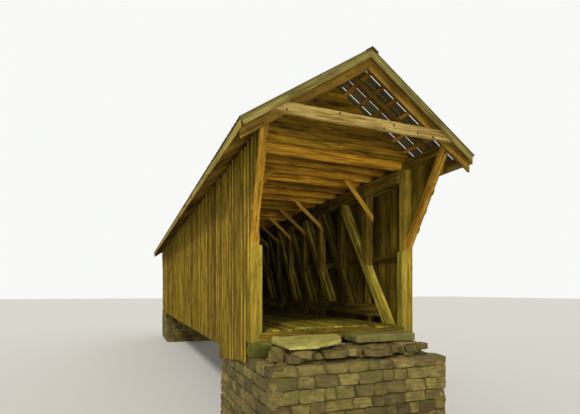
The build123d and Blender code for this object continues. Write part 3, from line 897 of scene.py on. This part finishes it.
def makeRubble(blocks):
    low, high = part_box("step_beds")
    chance = random.Random(rubble["seed"])
    length = rubble["length"]
    places = []
    for end in (-1, 1):
        front, back = (low.y, low.y + length) if end < 0 else (high.y - length, high.y)
        for _ in range(rubble["count"]):
            size = Vector([chance.uniform(*rubble[way]) for way in ("long", "wide", "thick")])
            x = chance.uniform(low.x + size.x / 2, high.x - size.x / 2)
            y = chance.uniform(front + size.y / 2, back - size.y / 2)
            z = chance.uniform(low.z + size.z / 2, high.z - size.z / 2)
            places.append(((x, y, z), size, chance.uniform(*rubble["turn"])))

    def strewn(centre, size, turn):
        return Matrix.Translation(centre) @ Matrix.Rotation(turn, 4, "Z") @ Matrix.Diagonal((*size, 1))

    heap = joinPieces("rubble", dealOut(blocks, places, chance, strewn))
    finishPiece(heap, finishes["fieldStone"], "masonry", "step_beds")


# The slabs differ in tone: from outside each portal, the one on the right is darker
slabs = {"merge": 0.0005, "voxel": 0.03, "smooth": 6, "smoothFactor": 0.7, "rough": 0.05,
         "roughMiddle": 0.75, "grainSize": 0.35, "grainDepth": 4, "smoothTo": 50, "splitX": -0.1,
         "tones": (0.0, 0.85)}


def makeSlabs(name):
    # A merged copy of the node, remeshed and worn down to a rough stone
    clearSelection()
    slab = bpy.data.objects.new("slab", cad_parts[name].data.copy())
    bpy.context.scene.collection.objects.link(slab)
    pickUp(slab)
    editAll()
    bpy.ops.mesh.remove_doubles(threshold=slabs["merge"])
    bpy.ops.mesh.normals_make_consistent(inside=False)
    bpy.ops.object.mode_set(mode="OBJECT")
    remesh = slab.modifiers.new("remesh", "REMESH")
    remesh.mode = "VOXEL"
    remesh.voxel_size = slabs["voxel"]
    smooth = slab.modifiers.new("smooth", "SMOOTH")
    smooth.iterations = slabs["smooth"]
    smooth.factor = slabs["smoothFactor"]
    texture = bpy.data.textures.new("stoneWear", "CLOUDS")
    texture.noise_scale = slabs["grainSize"]
    texture.noise_depth = slabs["grainDepth"]
    wear = slab.modifiers.new("wear", "DISPLACE")
    wear.texture = texture
    wear.strength = slabs["rough"]
    wear.mid_level = slabs["roughMiddle"]
    wear.texture_coords = "LOCAL"
    applyModifiers(slab)
    bpy.ops.object.shade_smooth_by_angle(angle=math.radians(slabs["smoothTo"]))
    turned = 1 if name == "near_steps" else -1
    dark, light = slabs["tones"]
    markTones(slab.data, [dark if turned * vertex.co.x > slabs["splitX"] else light
                          for vertex in slab.data.vertices])
    slab.name = name.replace("steps", "slabs")
    finishPiece(slab, finishes["slabStone"], "step_stone", name)


roughBlocks = makeStones()
makeAbutment("near_abutment", roughBlocks)
makeAbutment("far_abutment", roughBlocks)
makeRubble(roughBlocks)
throwAway(*roughBlocks)
makeSlabs("near_steps")
makeSlabs("far_steps")
print("stone")


# Bolts: a square washer and a hexagon head on the inner face of each truss joint
bolts = {"washer": 0.07, "washerThick": 0.006, "corner": 0.002, "head": 0.021, "headThick": 0.014,
         "spacing": 0.12, "fromEdge": 0.1, "fromChordFoot": 0.12, "twist": 0.3, "seed": 71}


def makeBolt():
    # Points along +X from the face it sits on
    clearSelection()
    bpy.ops.mesh.primitive_cylinder_add(vertices=6, radius=bolts["head"], depth=bolts["headThick"],
                                        location=(bolts["washerThick"] + bolts["headThick"] / 2, 0, 0),
                                        rotation=(0, math.pi / 2, 0))
    head = settled()
    half = bolts["washer"] / 2
    washer = addBox("washer", (0, -half, -half), (bolts["washerThick"], half, half))
    bevelEdges(washer, lambda a, b: a.x > 0.001 and b.x > 0.001, bolts["corner"])
    return joinPieces("bolt", [head, washer])


def makeBolts():
    bolt = makeBolt()
    chordLow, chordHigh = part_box("right_top_chord")
    kerbLow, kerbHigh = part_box("right_kerb_chord")
    chance = random.Random(bolts["seed"])
    gap = bolts["fromEdge"]
    heights = (chordLow.z + bolts["fromChordFoot"], chordHigh.z - gap, kerbLow.z + gap, kerbHigh.z - gap)
    places = []
    for index in range(bridge["panelCount"] + 1):
        y = portalY + bridge["endBay"] + bridge["panel"] * index
        for side in (-1, 1):
            turn = Matrix.Rotation(math.pi if side > 0 else 0, 4, "Z")
            for z in heights:
                shift = bolts["spacing"] / 2 * (1 if z > (chordLow.z + kerbLow.z) / 2 else -1)
                twist = Matrix.Rotation(chance.uniform(-bolts["twist"], bolts["twist"]), 4, "X")
                places.append(Matrix.Translation((side * chordLow.x, y + shift, z)) @ turn @ twist)
    piece = copyOut(bolt, "trussBolts", places)
    throwAway(bolt)
    finishPiece(piece, finishes["boltSteel"], "frame_timber")


# Round heads on the outer face of each portal tie, placed by X and height
tieHeads = {"radius": 0.026, "thick": 0.008, "corner": 0.003,
            "places": ((-1.906, 7.301), (-0.738, 7.417), (0.594, 7.376), (0.335, 7.26), (1.238, 7.296),
                       (1.659, 7.26))}


def makeTieHeads():
    clearSelection()
    thick = tieHeads["thick"]
    bpy.ops.mesh.primitive_cylinder_add(vertices=12, radius=tieHeads["radius"], depth=thick,
                                        location=(0, -thick / 2, 0), rotation=(math.pi / 2, 0, 0))
    head = settled()
    bevelEdges(head, lambda a, b: a.y < -0.001 and b.y < -0.001, tieHeads["corner"])
    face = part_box("portal_ties")[0].y
    places = []
    for x, z in tieHeads["places"]:
        places.append(Matrix.Translation((x, face, z)))
        places.append(Matrix.Translation((-x, -face, z)) @ Matrix.Rotation(math.pi, 4, "Z"))
    piece = copyOut(head, "tieHeads", places)
    throwAway(head)
    finishPiece(piece, finishes["boltSteel"], "pale_timber")


makeBolts()
makeTieHeads()
print("bolts")


# Stage: pale floor, soft light, and a camera where the photo was taken. Turns are in degrees.
stage = {"floor": (0.8, 0.8, 0.78), "floorRoughness": 0.9, "floorSize": 400, "floorDrop": 0.002,
         "sky": (0.94, 0.95, 0.93), "light": (1.0, 0.97, 0.92), "lightStrength": 0.5,
         "sun": 1.5, "sunSpread": 9, "sunColor": (1.0, 0.95, 0.86), "sunTurn": (46, 0, -38),
         "fill": 105, "fillSpread": 75, "fillSize": 5, "fillTurn": (99, 0, -10),
         "fillPlace": Vector((-2.5, portalY - 10, 3.6))}
photoView = {"sensor": 36, "lens": 24.83, "shift": 0.145, "reach": 500, "left": 4.738, "back": 8.714,
             "eye": 1.165, "turn": (90, 0, -21.8)}


def inRadians(turn):
    return [math.radians(angle) for angle in turn]


def makeFloorPlane():
    clearSelection()
    below = (0, 0, cadBox[0].z - stage["floorDrop"])
    bpy.ops.mesh.primitive_plane_add(size=stage["floorSize"], location=below)
    floor = bpy.context.object
    floor.name = "floor"
    material, _, shader = startMaterial("floorPaint")
    shader.inputs["Base Color"].default_value = (*stage["floor"], 1)
    shader.inputs["Roughness"].default_value = stage["floorRoughness"]
    floor.data.materials.append(material)


def makeWorld():
    # The camera and reflections see the sky, and all else is lit by the warmer light
    world = bpy.data.worlds.new("studio")
    bpy.context.scene.world = world
    world.use_nodes = True
    tree = world.node_tree
    tree.nodes.clear()
    path = put(tree, "ShaderNodeLightPath")
    seen = calc(tree, "MAXIMUM", path.outputs["Is Camera Ray"], path.outputs["Is Glossy Ray"])
    seen = calc(tree, "MAXIMUM", seen, path.outputs["Is Transmission Ray"])
    lit = put(tree, "ShaderNodeBackground", {0: (*stage["light"], 1), 1: stage["lightStrength"]})
    shown = put(tree, "ShaderNodeBackground", {0: (*stage["sky"], 1), 1: 1.0})
    mixed = put(tree, "ShaderNodeMixShader", {0: seen, 1: lit.outputs[0], 2: shown.outputs[0]})
    put(tree, "ShaderNodeOutputWorld", {0: mixed.outputs[0]})


def hangLight(name, kind, energy, turn, place=(0, 0, 0)):
    light = bpy.data.lights.new(name, kind)
    light.energy = energy
    lamp = bpy.data.objects.new(name, light)
    lamp.location = place
    lamp.rotation_euler = inRadians(turn)
    bpy.context.scene.collection.objects.link(lamp)
    return light


def makeLights():
    sun = hangLight("sun", "SUN", stage["sun"], stage["sunTurn"])
    sun.angle = math.radians(stage["sunSpread"])
    sun.color = stage["sunColor"]
    fill = hangLight("fill", "AREA", stage["fill"], stage["fillTurn"], stage["fillPlace"])
    fill.size = stage["fillSize"]
    fill.spread = math.radians(stage["fillSpread"])


def makeCamera():
    view = bpy.data.cameras.new("camera")
    view.sensor_width = photoView["sensor"]
    view.lens = photoView["lens"]
    view.shift_y = photoView["shift"]
    view.clip_end = photoView["reach"]
    camera = bpy.data.objects.new("camera", view)
    camera.location = (-photoView["left"], portalY - photoView["back"], footZ + photoView["eye"])
    camera.rotation_euler = inRadians(photoView["turn"])
    bpy.context.scene.collection.objects.link(camera)
    bpy.context.scene.camera = camera


makeFloorPlane()
makeWorld()
makeLights()
makeCamera()
bpy.context.scene.view_settings.view_transform = "Standard"
print("stage")
